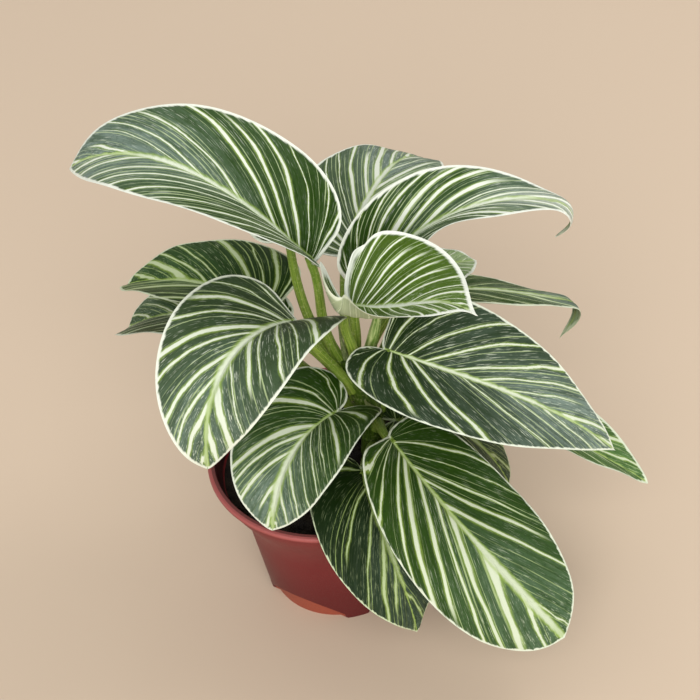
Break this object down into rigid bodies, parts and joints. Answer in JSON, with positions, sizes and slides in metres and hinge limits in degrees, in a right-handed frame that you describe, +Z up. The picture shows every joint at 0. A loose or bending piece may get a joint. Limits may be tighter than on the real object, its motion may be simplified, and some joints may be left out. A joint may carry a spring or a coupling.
{
  "type": "potted birkin philodendron",
  "caption": "Foliage plant with a rosette of heart-shaped, cream-striped leaves on slim stalks, standing in potting mix in a tapered nursery pot.",
  "frame": {"origin": "centre of the pot's underside, on the surface the pot stands on", "axes": "+Z up, +X to the right and -Y towards the viewer in the picture"},
  "size_m": [0.2647, 0.2285, 0.2548],
  "materials": {
    "pot": "satin dark red moulded plastic",
    "soil": "damp black potting mix of peat and bark",
    "stem": "smooth green stem and stalks",
    "leaf": "satin dark green blade with cream pinstripes and margin"
  },
  "bodies": {
    "root": {"pot": "pot", "soil": "soil", "stem": "stem", "new_leaf": "stem", "leaf_upper_left": "leaf", "leaf_left_back": "leaf", "leaf_left_low": "leaf", "leaf_left_front": "leaf", "leaf_front": "leaf", "leaf_front_right": "leaf", "leaf_front_low": "leaf", "leaf_right": "leaf", "leaf_young": "leaf", "leaf_back": "leaf", "leaf_upper_right": "leaf", "leaf_right_back": "leaf", "leaf_right_low": "leaf", "leaf_low_behind": "leaf", "leaf_small_behind": "leaf", "leaf_hidden_behind": "leaf"}
  },
  "joints": []
}
